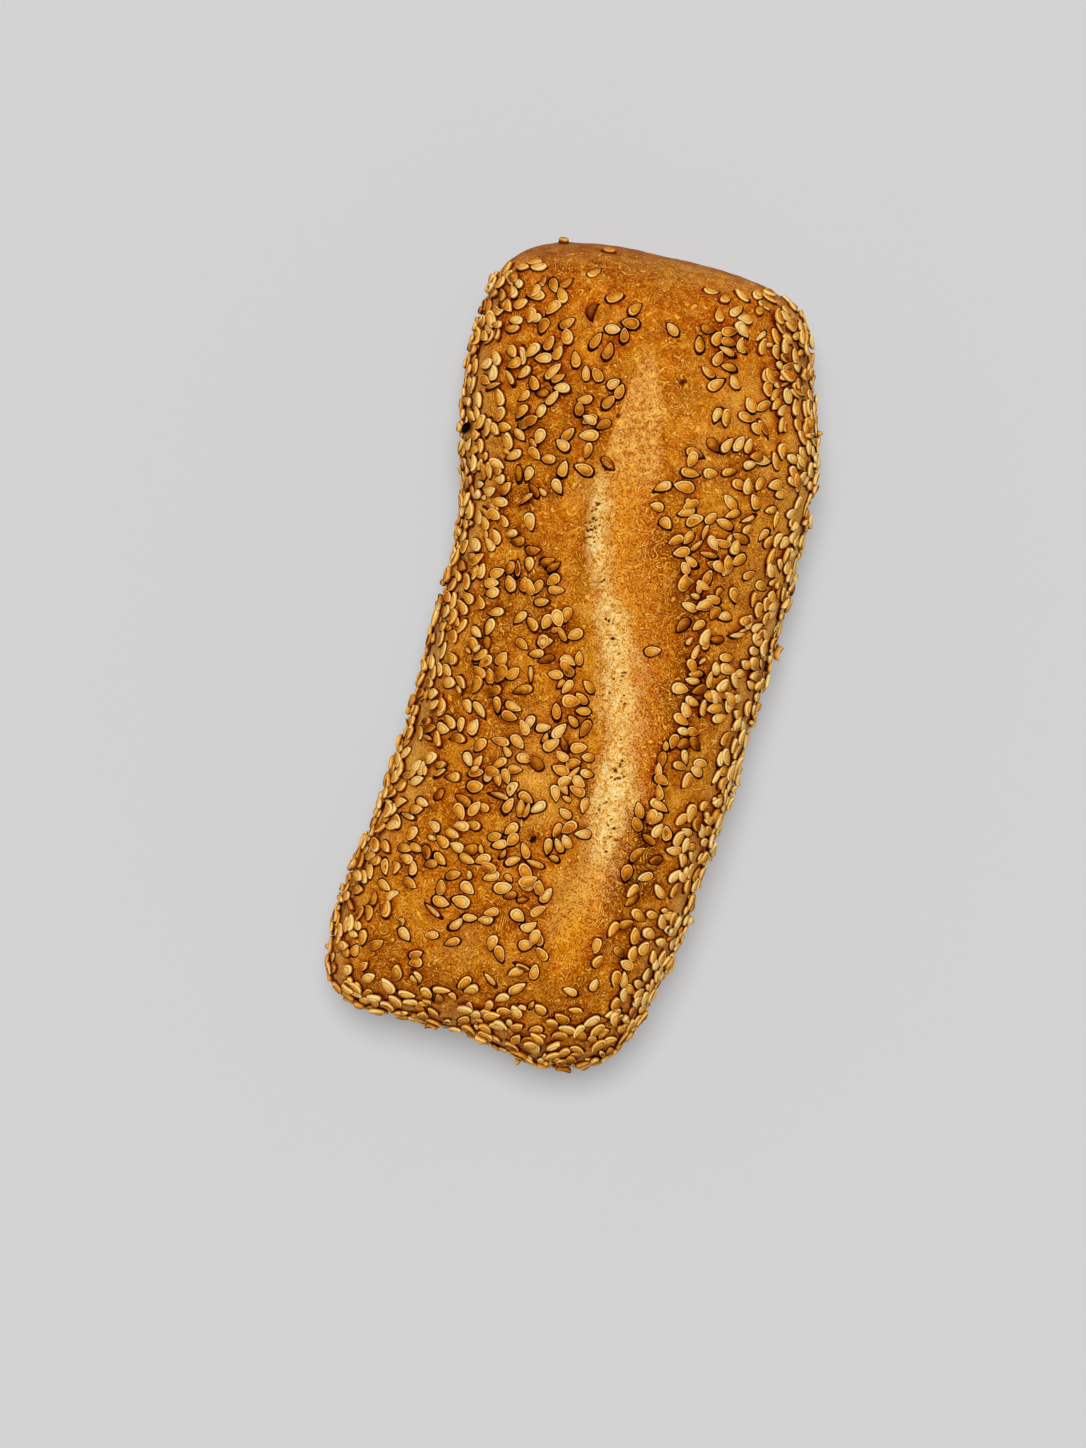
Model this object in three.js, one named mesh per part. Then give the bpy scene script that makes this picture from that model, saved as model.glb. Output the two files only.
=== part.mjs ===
// A free-baked sesame bread roll: one solid of crust and crumb that lies on its flat base.
//
// Millimetres, +Z up. The origin is on the resting surface, under the middle of the roll's bounding box.
// +Y runs along the roll, from the fully seeded end to the bare end, and +X is to the right of that.
//
// The shape is a stack of rings. Each ring has the roll's outline, as seen from above, drawn in towards
// the line of the baker's score, so that the rings run along the groove's banks and round the blunt ends.
import * as THREE from "three";
import { mergeVertices } from "three/addons/utils/BufferGeometryUtils.js";

// Driving dimensions, in millimetres.
const LENGTH = 167; // end to end
const WIDTH = 74; // across the widest part of the outline
const HEIGHT = 42; // the crown, above the resting surface
const BELLY_HEIGHT = 16; // height at which the sides reach furthest out
const BASE_INSET = 9.5; // from the outline in to the edge of the flat base
const GROOVE_DEPTH = 3.8; // of the opened score, below the crown
const GROOVE_HALF_WIDTH = 8.5;
const GROOVE_TAPER = 1.5; // how soon its depth runs out towards its ends: more is sooner

// How square the section is: 2 is an ellipse, more is boxier.
const CROWN_SQUARENESS = 2.5;
const BELLY_SQUARENESS = 1.9;

// Mesh density.
const AROUND = 96; // points along a ring
const LOWER_RINGS = 6; // base edge to belly
const UPPER_RINGS = 17; // belly to the bottom of the groove
const INNERMOST = 0.035; // how far the last ring stays from the score line, as a share of the way out

// The outline from above, anticlockwise from the middle of the seeded end, as shares of half the width
// and half the length. It bows to the right, has a waist on its left side and blunt, rounded ends.
const OUTLINE = [
  [0.25, -1.005],
  [0.595, -0.974],
  [0.745, -0.9],
  [0.81, -0.8],
  [0.89, -0.6],
  [0.943, -0.32],
  [0.99, 0.0],
  [1.01, 0.24],
  [1.005, 0.455],
  [0.955, 0.635],
  [0.83, 0.79],
  [0.7, 0.925],
  [0.45, 0.975],
  [0.0, 0.983],
  [-0.44, 0.972],
  [-0.78, 0.935],
  [-0.92, 0.89],
  [-0.975, 0.83],
  [-1.005, 0.67],
  [-0.965, 0.485],
  [-0.835, 0.265],
  [-0.825, 0.0],
  [-0.83, -0.24],
  [-0.87, -0.49],
  [-0.945, -0.67],
  [-0.955, -0.84],
  [-0.89, -0.945],
  [-0.4, -0.972],
  [0.0, -0.977],
];

// The line of the score along the crown, from the seeded end to the bare end, in the same shares.
const SCORE = [
  [0.25, -0.7],
  [0.33, -0.5],
  [0.34, -0.31],
  [0.27, -0.1],
  [0.13, 0.14],
  [0.03, 0.33],
  [-0.02, 0.55],
  [-0.08, 0.74],
];

// Height of the crown along the roll, from end to end, as shares of HEIGHT.
const CROWN = [
  [-1, 0.86],
  [-0.7, 0.94],
  [-0.3, 0.985],
  [0.1, 0.97],
  [0.5, 1.0],
  [0.8, 0.96],
  [1, 0.88],
];

// A smooth curve in the plane through points given as shares of half the width and half the length.
function planCurve(shares, closed) {
  const points = shares.map(
    ([x, y]) => new THREE.Vector3((x * WIDTH) / 2, (y * LENGTH) / 2, 0),
  );
  return new THREE.CatmullRomCurve3(points, closed, "centripetal");
}

// The crown's height at y, smoothly between the stated values.
function crownHeight(y) {
  const share = THREE.MathUtils.clamp((2 * y) / LENGTH, -1, 1);
  const after = Math.max(1, CROWN.findIndex(([at]) => at >= share));
  const [y0, h0] = CROWN[after - 1];
  const [y1, h1] = CROWN[after];
  return HEIGHT * THREE.MathUtils.lerp(h0, h1, THREE.MathUtils.smoothstep(share, y0, y1));
}

// How deep the score's groove is, at a distance from its line and a share of the way along it.
function grooveDepth(distance, along) {
  const fade = Math.sin(Math.PI * THREE.MathUtils.clamp(along, 0, 1)) ** GROOVE_TAPER;
  return GROOVE_DEPTH * fade * Math.exp(-((distance / GROOVE_HALF_WIDTH) ** 2));
}

const outline = planCurve(OUTLINE, true).getSpacedPoints(AROUND).slice(0, AROUND);
const score = planCurve(SCORE, false);

// The point on the score line that a point of the outline is drawn in towards.
function footOf(point) {
  const along = THREE.MathUtils.clamp(point.y / LENGTH + 0.5, 0, 1);
  return { along, foot: score.getPoint(along) };
}

// One ring below the belly. At angle 0 it is the base's edge, and at 90 degrees the belly.
function lowerRing(angle) {
  const inset = BASE_INSET * (1 - Math.sin(angle) ** (2 / BELLY_SQUARENESS));
  const z = BELLY_HEIGHT * (1 - Math.cos(angle) ** (2 / BELLY_SQUARENESS));
  return outline.map((edge) => {
    const inwards = footOf(edge).foot.sub(edge).setLength(inset);
    return edge.clone().add(inwards).setZ(z);
  });
}

// One ring above the belly. At angle 0 it is the belly, and at 90 degrees it nears the score line.
function upperRing(angle) {
  const reach = Math.max(Math.cos(angle), 0) ** (2 / CROWN_SQUARENESS);
  const rise = Math.sin(angle) ** (2 / CROWN_SQUARENESS);
  const share = Math.max(reach, INNERMOST);
  return outline.map((edge) => {
    const { along, foot } = footOf(edge);
    const point = foot.clone().lerp(edge, share);
    const z = BELLY_HEIGHT + (crownHeight(point.y) - BELLY_HEIGHT) * rise;
    return point.setZ(z - grooveDepth(point.distanceTo(foot), along));
  });
}

// Every ring from the base's edge to the groove. The upper ones come closer together near the groove.
function allRings() {
  const quarter = Math.PI / 2;
  const rings = [];
  for (let i = 0; i <= LOWER_RINGS; i++) {
    rings.push(lowerRing((quarter * i) / LOWER_RINGS));
  }
  for (let i = 1; i <= UPPER_RINGS; i++) {
    rings.push(upperRing((quarter * i) / UPPER_RINGS));
  }
  return rings;
}

// Triangles that close a ring, facing up, as indices into it. The ring starts at the seeded end, so they
// zip its right side to its left side from there to the bare end, and follow the groove's ups and downs.
function zipTriangles(ring) {
  const ys = ring.map((point) => point.y);
  const bareEnd = ys.indexOf(Math.max(...ys));
  const triangles = [];
  let [right, left] = [0, ring.length];
  while (left - right > 2 || right < bareEnd) {
    const rightIsNext = left === bareEnd || (right < bareEnd && ys[right + 1] < ys[left - 1]);
    const ahead = rightIsNext ? right + 1 : left - 1;
    triangles.push([right, ahead, left % ring.length]);
    [right, left] = rightIsNext ? [ahead, left] : [right, ahead];
  }
  return triangles.filter(([a, b, c]) => a !== b && b !== c && c !== a);
}

// The closed surface over the rings: a flat base, the sides and crown, and the bottom of the groove.
function loafGeometry(rings) {
  const triangles = [];
  for (let ring = 0; ring + 1 < rings.length; ring++) {
    for (let i = 0; i < AROUND; i++) {
      const next = (i + 1) % AROUND;
      const [a, b] = [ring * AROUND + i, ring * AROUND + next];
      const [c, d] = [a + AROUND, b + AROUND];
      triangles.push(a, b, d, a, d, c);
    }
  }
  for (const [a, b, c] of zipTriangles(rings[0])) {
    triangles.push(a, c, b);
  }
  const top = (rings.length - 1) * AROUND;
  for (const [a, b, c] of zipTriangles(rings.at(-1))) {
    triangles.push(top + a, top + b, top + c);
  }
  const geometry = new THREE.BufferGeometry().setFromPoints(rings.flat());
  geometry.setIndex(triangles);
  return mergeVertices(geometry, 1e-3);
}

// The origin goes under the middle of the bounding box, which the curve through the outline sets.
function centred(geometry) {
  geometry.computeBoundingBox();
  const middle = geometry.boundingBox.getCenter(new THREE.Vector3());
  geometry.translate(-middle.x, -middle.y, 0);
  geometry.computeVertexNormals();
  return geometry;
}

const crust = new THREE.MeshStandardMaterial({
  color: 0xb8742a,
  roughness: 0.7,
  metalness: 0,
});

const roll = new THREE.Mesh(centred(loafGeometry(allRings())), crust);
roll.name = "bread_roll";

const part = new THREE.Group();
part.add(roll);

export default part;
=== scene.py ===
"""A sesame bread roll lying on a pale floor, seen from straight above.

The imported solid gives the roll's place and shape. A fine copy of it carries the crust: the opened score with
its torn, porous floor, the lumps, the blisters and the holes. Some 1,900 seeds, each a closed body of its
own, are scattered over it as densely as each stretch of the crust has them.

Lengths are in millimetres until a mesh is made, which is in metres. x runs across the roll, y along it
towards its bare end, and z up from the floor.
"""
import itertools
import math

import bmesh
import bpy
import numpy as np
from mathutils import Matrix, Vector
from mathutils.bvhtree import BVHTree


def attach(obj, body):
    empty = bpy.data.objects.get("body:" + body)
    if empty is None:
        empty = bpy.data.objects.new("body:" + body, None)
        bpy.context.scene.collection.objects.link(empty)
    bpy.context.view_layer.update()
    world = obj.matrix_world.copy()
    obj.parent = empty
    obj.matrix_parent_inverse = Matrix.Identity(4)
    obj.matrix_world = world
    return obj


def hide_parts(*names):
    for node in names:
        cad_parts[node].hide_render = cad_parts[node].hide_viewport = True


MM = 0.001

# The camera: straight above, with a long lens.
LENS_MM = 85.0
SENSOR_MM = 36.0
VIEW_LENGTH = 296.8  # of the roll's surroundings that the picture's long side takes in
BELLY_HEIGHT = 16.0  # where the roll is widest, so where it is framed
ROLL_TURN = math.radians(14.04)  # how far the roll's length leans clockwise from the picture's up
ROLL_RIGHT_OF_MIDDLE = 8.3
ROLL_ABOVE_MIDDLE = 14.2
PICTURE_RIGHT = np.array([math.cos(ROLL_TURN), math.sin(ROLL_TURN), 0.0])
PICTURE_UP = np.array([-math.sin(ROLL_TURN), math.cos(ROLL_TURN), 0.0])

# The crust's mesh.
VOXEL = 0.78
SMOOTHING_PASSES = 10
NEAR_CROWN = 28.0  # the height above which it is finer in the score

# The score's lips, as (y, x) points from the seeded end to the bare end.
SCORE_LEFT = [(-66, 8.6), (-59, 7.3), (-51, 7.3), (-40, 8.6), (-28, 6.8), (-9.5, 4.0), (10, -2.2),
              (26, -6.1), (45, -5.6), (56, -4.4), (63, -2.6)]
SCORE_RIGHT = [(-66, 13.6), (-57, 16.2), (-48, 18.4), (-37, 20.7), (-24, 20.9), (-6, 19.0), (14, 14.2),
               (30, 9.6), (48, 5.2), (58, 1.8), (63, -0.6)]
SCORE_ENDS = (-66.0, 64.0)

# The band along the score where no seeds stuck, as (y, x) points of its left and right edges.
SEEDLESS_LEFT = [(-66, 8.6), (-59, 7.3), (-55, 4.5), (-51, 6.0), (-43, 5.0), (-34, 8.2), (-28, 7.0),
                 (-18, 5.9), (-12, 3.7), (-4.5, 2.4), (3, -2.5), (10, -7.5), (16, -9.5), (20, -15.0),
                 (24, -17.0), (28, -14.0), (33, -8.2), (46, -6.7), (56, -5.0), (63, -3.0)]
SEEDLESS_RIGHT = [(-66, 13.6), (-57, 16.2), (-51, 18.1), (-44, 19.4), (-36, 16.9), (-29, 17.3), (-20, 19.2),
                  (-6, 19.4), (6, 18.2), (12, 16.4), (22, 13.6), (27, 9.4), (32, 6.0), (39, 8.2), (44, 9.6),
                  (51, 11.6), (57, 10.2), (63, 8.5)]
SEEDLESS_ENDS = (-66.0, 66.0)

# The torn pale floor of the score: (y, x, half width, how pale).
STREAK = [(-62, 10.6, 2.4, 0.0), (-55, 11.9, 3.0, 0.0), (-47, 13.4, 3.4, 0.15), (-41, 13.2, 3.2, 0.4),
          (-38, 12.9, 3.2, 0.75), (-32, 12.7, 3.9, 0.95), (-23, 12.2, 3.4, 1.0), (-13.5, 10.8, 3.3, 0.7),
          (-8, 9.2, 3.7, 0.8), (-2, 7.4, 3.8, 0.95), (7, 4.3, 3.2, 0.95), (15, -0.4, 2.6, 0.6),
          (22, -3.9, 2.8, 0.95), (28, -4.7, 2.9, 0.95), (33, -5.7, 2.9, 0.7), (38, -5.2, 2.4, 0.15),
          (44, -2.5, 3.0, 0.0)]
STREAK_X, STREAK_HALF_WIDTH, STREAK_PALENESS = 1, 2, 3  # its columns

# The pores in it, in clusters: (y, how many, spread along it).
PORES = [(28, 6, 0.7), (25, 13, 1.1), (22.5, 7, 0.8), (20.4, 2, 0.3), (15, 2, 1.5), (7, 3, 0.6),
         (4.5, 5, 0.7), (2, 2, 0.3), (-2.2, 5, 1.0), (-7, 4, 1.5), (-15, 4, 0.8), (-20.5, 11, 0.9),
         (-22.4, 8, 0.5), (-27, 5, 1.5), (-31, 6, 1.5), (-35, 5, 0.6), (-37, 2, 0.3)]

# Patches that browned more, or less where the amount is below 0: (x, y, half width, half length, amount).
TOASTED = [(-12, 8, 9, 12, 1.0), (-19, -10, 6, 8, 0.8), (-20, -43, 7, 6, 0.6), (-27, -65, 8, 10, 0.5),
           (19, -40, 5, 12, 2.0), (18.5, -4, 3.5, 8, 1.0), (9.5, 25, 3.5, 5, 0.9), (14, 14, 3, 7, 0.9),
           (7, 53, 4, 6, 1.1), (5, 66, 6, 4, 0.5), (-24, 72, 7, 5, 0.7), (-8, 76, 12, 5, 1.0),
           (-9, 51, 5, 6, 0.5), (3, -67, 7, 5, 0.6), (18, -69, 8, 5, 0.4), (-7, -19, 5, 5, -0.8),
           (-1, -29, 5, 7, -1.5), (8, -49, 4, 6, -1.1), (-28, -34, 5, 10, -1.2), (-9, -61, 6, 5, -0.6),
           (-28, 24, 5, 14, -0.9), (-33, 40, 4, 12, -1.1), (13, 43, 4, 5, -1.1), (18, 56, 5, 6, -0.9),
           (34, 42, 5, 30, -1.0), (33, -12, 5, 18, -0.5), (32, -55, 5, 20, -0.8), (25, 20, 6, 45, -0.4),
           (11.5, -43.5, 3, 4.5, -1.5), (-7, 33, 3, 4, -1.2)]

# Holes and burnt specks in the crust: (x, y, half width, half length, depth).
PITS = [(5.7, 56.6, 0.5, 0.75, 0.9), (-4.9, 47.0, 0.35, 0.35, 0.5), (-13.7, 19.4, 0.3, 0.35, 0.4),
        (-19.7, 50.7, 0.35, 0.35, 0.4), (-12.8, 15.8, 0.9, 0.6, 0.5), (-11.6, 14.6, 0.6, 0.9, 0.4)]

# Where the bare end's plain crust starts along the roll's middle.
BARE_FROM = 81.0

# Seeds.
SEED_LENGTH = 3.35
SEED_WIDTH = 1.88
SEED_THICKNESS = 0.95
SEED_SEGMENTS = 16
SMALL_SHARE, SMALL_SCALE = 0.08, 0.58  # of the seeds that are small, and their size
EDGEWISE_SHARE = 0.07  # of those that lie on edge
BROWNED_SHARE = 0.02  # of those that browned right through
PALEST, DARKEST = 1.0, 0.29  # of the others' shades
TRIES_PER_SEED = 2.4  # places tried for each seed wanted
TURNS_PER_TRY = 5
STUCK_SLACK = 0.09  # how far stuck seeds may lie in each other, as a share of their size

# How many lie on a square centimetre: on the crown, and how many more elsewhere. They lie in clumps.
ON_CROWN = 5.6
MORE_ON_SIDES = 4.6
MORE_BESIDE_SCORE = 4.0
MORE_ON_SEEDED_END = 2.5
MOST = 13.5

# Thicker on the right shoulder and in the bare end's left corner, as (x, y, half width, half length, how
# many more).
THICK = [(21, 12, 8, 22, 4), (-30, 69, 6, 7, 8)]

# Thinner at the top of the score, by the bare end, low on the left, at the score's foot and on the right
# flank, as (x, y, half width, half length, squareness, share that is missing).
THIN = [(-2, 71, 15, 15, 4, 0.93), (-8, 79, 18, 9, 4, 0.95), (-20, 76, 7, 6, 2, 0.92),
        (-15, -65, 13, 6.5, 2, 0.78), (11, -64, 6, 7, 2, 0.75), (34, -3, 5, 8, 2, 0.65)]

# Seeds that lie by themselves or stand out: (x, y, degrees from +X, shade, scale). A shade of 1 is the
# palest, and one below 0 is black.
LONE_SEEDS = [(13.1, 3.5, 20, 0.62, 1.0), (-4.9, 37.4, -26, 0.22, 1.0), (-16.5, 74.0, 60, 0.5, 1.0),
              (-6.9, 68.2, 55, 0.52, 1.0), (-15.3, 66.1, 80, 0.12, 0.9), (-24.2, 80.0, 15, 0.42, 1.0),
              (-10.9, 53.7, 130, 0.5, 1.0), (-7.4, 49.1, 60, 0.45, 1.0), (-21.6, 57.8, 75, 0.55, 1.0),
              (-19.1, 62.5, 40, 0.5, 1.0), (-7.6, 62.7, 100, 0.48, 0.9), (7.0, 76.0, 10, 0.5, 0.95),
              (-14.8, 79.6, 5, 0.3, 0.8), (10.2, 75.2, 70, 0.45, 0.95), (9.7, 71.5, 100, 0.5, 1.0),
              (8.1, 67.8, -5, 0.3, 0.9), (7.2, 64.5, 105, 0.45, 1.0), (12.6, 66.6, 0, 0.36, 1.0),
              (11.4, 62.9, 75, 0.6, 1.0), (-33.3, 38.6, 75, -0.6, 0.8), (-1.0, -38.3, 60, -0.6, 0.5)]
ROOM_ROUND_BLACK = 1.7  # times a black seed's size, to keep it in plain sight

# Light, from just up and left of the camera. The floor is a light table, which softens the roll's shadow.
FLOOR_BRIGHTNESS = 0.638
FLOOR_OWN_SHARE = 0.27
FLOOR_COOLER = (0.995, 1.038, 1.07, 1.0)  # beside the roll, against the warm light it throws on the floor
FLOOR_COOLER_WITHIN = (60 * MM, 105 * MM, 1.0)  # of the roll's middle: across, along and above it, in metres
ROOM_LIGHT = 0.24
HORIZON_LIGHT = 0.60
HORIZON_TOP = 0.45  # where the horizon's light has faded out, as a share of the way up
SOFTBOX_LIGHT = 2.62
SOFTBOX_ACROSS = math.radians(26)
SOFTBOX_FROM = np.array([0.0, 0.0, 1.0]) + 0.21 * PICTURE_UP - 0.03 * PICTURE_RIGHT
SOFTBOX_FROM /= np.linalg.norm(SOFTBOX_FROM)
LIT = ROOM_LIGHT + SOFTBOX_LIGHT * SOFTBOX_FROM[2] / math.pi  # a level white surface's brightness


# ---------------------------------------------------------------- small tools


def srgb(red, green, blue):
    """A colour given in 0 to 255, as Blender's linear colour."""
    def linear(channel):
        share = channel / 255
        return share / 12.92 if share <= 0.04045 else ((share + 0.055) / 1.055) ** 2.4
    return (linear(red), linear(green), linear(blue), 1.0)


def smoothstep(value, low, high):
    share = np.clip((value - low) / (high - low), 0, 1)
    return share * share * (3 - 2 * share)


def hill(value, middle, half_width):
    """1 at the middle, falling smoothly to nearly 0 at twice the half width from it."""
    return np.exp(-(((value - middle) / half_width) ** 2))


def spot(points, x, y, half_width, half_length, squareness=2):
    """1 at (x, y) as seen from above, falling to about a third at the half width and the half length."""
    right, ahead = (points[:, 0] - x) / half_width, (points[:, 1] - y) / half_length
    return np.exp(-(right ** squareness) - ahead ** squareness)


def along(points, at):
    """The value at each of `at` on a smooth curve through (position, value) points in rising order."""
    position, value = np.array(points, float).T
    slope = np.gradient(value, position)
    i = np.clip(np.searchsorted(position, at) - 1, 0, len(position) - 2)
    step = position[i + 1] - position[i]
    t = np.clip((at - position[i]) / step, 0, 1)
    return (value[i] * (1 + 2 * t) * (1 - t) ** 2 + slope[i] * step * t * (1 - t) ** 2
            + value[i + 1] * t * t * (3 - 2 * t) + slope[i + 1] * step * t * t * (t - 1))


GRADIENTS = np.random.default_rng(7).normal(size=(1024, 3))
GRADIENTS /= np.linalg.norm(GRADIENTS, axis=1)[:, None]


def lumps(points, size, seed):
    """Smooth noise between about -1 and 1 at each point, whose lumps are about `size` apart."""
    place = points / size + 31.7 * seed
    cell = np.floor(place).astype(np.int64)
    inside = place - cell
    fade = inside ** 3 * (inside * (inside * 6 - 15) + 10)
    total = np.zeros(len(points))
    for corner in itertools.product((0, 1), repeat=3):
        x, y, z = (cell + corner).T
        gradient = GRADIENTS[(x * 73856093 ^ y * 19349663 ^ z * 83492791) % len(GRADIENTS)]
        weight = np.prod(np.where(corner, fade, 1 - fade), axis=1)
        total += weight * np.einsum("ij,ij->i", gradient, inside - corner)
    return 1.6 * total


def new_object(name, vertices, faces):
    """A smooth-shaded object from vertices in millimetres."""
    mesh = bpy.data.meshes.new(name)
    mesh.from_pydata((np.asarray(vertices) * MM).tolist(), [], faces)
    mesh.shade_smooth()
    piece = bpy.data.objects.new(name, mesh)
    bpy.context.scene.collection.objects.link(piece)
    return piece


def coordinates(mesh, attribute="co"):
    values = np.zeros(len(mesh.vertices) * 3, np.float32)
    mesh.vertices.foreach_get(attribute, values)
    return values.reshape(-1, 3).astype(float)


def store(mesh, name, values):
    """One number per vertex, which a material can read by name."""
    layer = mesh.attributes.new(name, "FLOAT", "POINT")
    layer.data.foreach_set("value", np.asarray(values, np.float32))


# ---------------------------------------------------------------- materials


# The brown of the painted shade in crevices.
CREVICE_SHADE_BROWN = (0.38, 0.085, 0.012, 1.0)


class Material:
    """A material whose nodes are written as calls. Texture sizes are in millimetres."""

    def __init__(self, name):
        self.data = bpy.data.materials.new(name)
        self.data.use_nodes = True
        self.tree = self.data.node_tree
        self.tree.nodes.clear()
        self.place = self.node("TexCoord", "Object")

    def node(self, kind, output=0, inputs=(), **settings):
        made = self.tree.nodes.new("ShaderNode" + kind)
        for key, value in settings.items():
            setattr(made, key, value)
        for key, value in dict(inputs).items():
            if isinstance(value, bpy.types.NodeSocket):
                self.tree.links.new(value, made.inputs[key])
            else:
                made.inputs[key].default_value = value
        return made.outputs[output]

    def attribute(self, name):
        return self.node("Attribute", "Fac", attribute_name=name)

    def math(self, operation, a, b=0.0, c=0.0):
        return self.node("Math", inputs={0: a, 1: b, 2: c}, operation=operation)

    def remap(self, value, low, high, to_low=0.0, to_high=1.0):
        inputs = {"Value": value, "From Min": low, "From Max": high, "To Min": to_low, "To Max": to_high}
        return self.node("MapRange", inputs=inputs, interpolation_type="SMOOTHSTEP")

    def mix(self, share, a, b, blend="MIX"):
        inputs = {0: share, 6: a, 7: b}
        return self.node("Mix", 2, inputs, data_type="RGBA", blend_type=blend)

    def ramp(self, value, *stops):
        made = self.tree.nodes.new("ShaderNodeValToRGB")
        self.tree.links.new(value, made.inputs[0])
        elements = made.color_ramp.elements
        while len(elements) < len(stops):
            elements.new(0.5)
        for element, (position, colour) in zip(elements, stops):
            element.position = position
            element.color = colour
        return made.outputs[0]

    def noise(self, size, detail=2.0, roughness=0.5, distortion=0.0):
        inputs = {"Vector": self.place, "Scale": 1 / (size * MM), "Detail": detail,
                  "Roughness": roughness, "Distortion": distortion}
        return self.node("TexNoise", "Fac", inputs)

    def cells(self, size):
        """How far each place is from the nearest of many scattered points."""
        return self.node("TexVoronoi", "Distance", {"Vector": self.place, "Scale": 1 / (size * MM)})

    def two_tone(self, texture, dark, light, spread=0.14):
        """From a dark colour to a light one as the texture goes from low to high about its middle."""
        share = self.remap(texture, 0.5 - spread, 0.5 + spread)
        return self.ramp(share, (0.0, srgb(*dark)), (1.0, srgb(*light)))

    def veins(self, size, width, distortion):
        """Thin winding lines: 1 on a line, 0 away from it."""
        wave = self.math("SUBTRACT", self.noise(size, 1.5, 0.5, distortion), 0.5)
        return self.remap(self.math("ABSOLUTE", wave), 0.0, width, 1.0, 0.0)

    def whorls(self, size, turns):
        """Fine lines in loops and curls, as on a fingertip: 1 on a line, 0 between lines."""
        wave = self.math("SINE", self.math("MULTIPLY", self.noise(size, 0.0), turns * 2 * math.pi))
        return self.remap(wave, 0.1, 0.95)

    def bump(self, height, depth, below=None):
        """A normal from a height between 0 and 1, whose full range is `depth` millimetres."""
        inputs = {"Height": height, "Strength": 1.0, "Distance": depth * MM}
        if below is not None:
            inputs["Normal"] = below
        return self.node("Bump", inputs=inputs)

    def painted_crevice_shade(self, colour, reach, closed, opened):
        """The colour with painted shade: deeper and browner where other crust or seeds stand within `reach`
        millimetres and shut out the sky, fully where the share of open sky is `closed`, and not at all where
        it is `opened`."""
        sky = self.node("AmbientOcclusion", "AO", {"Distance": reach * MM}, samples=6)
        shut = self.remap(sky, closed, opened, 1.0, 0.0)
        gamma = self.math("MULTIPLY_ADD", shut, 1.4, 1.0)
        deeper = self.node("Gamma", inputs={"Color": colour, "Gamma": gamma})
        return self.mix(self.math("MULTIPLY", shut, 0.65), deeper, CREVICE_SHADE_BROWN, "MULTIPLY")

    def finish(self, inputs):
        """The material, from the main shader's inputs."""
        shader = self.node("BsdfPrincipled", inputs=inputs)
        output = self.tree.nodes.new("ShaderNodeOutputMaterial")
        self.tree.links.new(shader, output.inputs["Surface"])
        return self.data


def skin_colour(m, broad, patches):
    """The crust away from the score: mottled, and redder, more golden, floury or paler by place."""
    mottle = m.math("ADD", m.math("MULTIPLY", broad, 0.5), m.math("MULTIPLY", patches, 0.5))
    crust = m.ramp(m.remap(mottle, 0.37, 0.63),
                   (0.0, srgb(158, 76, 0)), (0.5, srgb(189, 103, 2)), (1.0, srgb(214, 134, 14)))
    crust = m.mix(m.attribute("orange"), crust, m.two_tone(patches, (176, 80, 0), (212, 116, 6)))
    crust = m.mix(m.attribute("amber"), crust, m.two_tone(patches, (182, 88, 0), (220, 129, 17)))
    crust = m.mix(m.attribute("golden"), crust, m.two_tone(patches, (204, 118, 0), (236, 158, 20)))
    floury = m.two_tone(patches, (186, 105, 14), (218, 144, 44))
    crust = m.mix(m.remap(broad, 0.50, 0.66, 0.0, 0.5), crust, floury)
    crust = m.mix(m.attribute("flank"), crust, m.two_tone(patches, (188, 126, 54), (224, 170, 98), 0.15))
    return m.mix(m.attribute("bare"), crust, m.two_tone(patches, (148, 77, 23), (179, 106, 48), 0.15))


def with_score(m, crust, patches, speckle):
    """The crust with the score's inside laid over it: the slopes from its left lip to its right lip, then
    its stretched upper part, then its foot, and last its torn pale floor."""
    uneven = m.math("SUBTRACT", patches, 0.5)
    across = m.math("MULTIPLY_ADD", uneven, 1.2, m.attribute("across"))
    opened = m.ramp(m.math("MULTIPLY_ADD", across, 0.4, 0.5),
                    (0.02, srgb(164, 80, 0)), (0.18, srgb(200, 110, 2)), (0.42, srgb(226, 144, 33)),
                    (0.58, srgb(214, 125, 28)), (0.78, srgb(192, 99, 16)), (0.96, srgb(150, 67, 5)))
    upper = m.two_tone(speckle, (204, 119, 24), (247, 188, 100), 0.16)
    opened = m.mix(m.attribute("upper"), opened, upper)
    opened = m.mix(m.attribute("lower"), opened, m.two_tone(patches, (198, 111, 0), (230, 152, 14)))
    inside = m.remap(m.math("MULTIPLY_ADD", uneven, 0.9, m.attribute("inside")), 0.15, 0.85)
    crust = m.mix(inside, crust, opened)
    pale = m.ramp(m.remap(speckle, 0.30, 0.70),
                  (0.0, srgb(210, 132, 18)), (0.42, srgb(246, 194, 70)), (0.8, srgb(255, 231, 158)),
                  (1.0, srgb(255, 240, 190)))
    ragged = m.math("MULTIPLY_ADD", m.math("SUBTRACT", speckle, 0.5), 0.5, m.attribute("streak"))
    return m.mix(m.remap(ragged, -0.05, 0.95), crust, pale)


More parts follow.
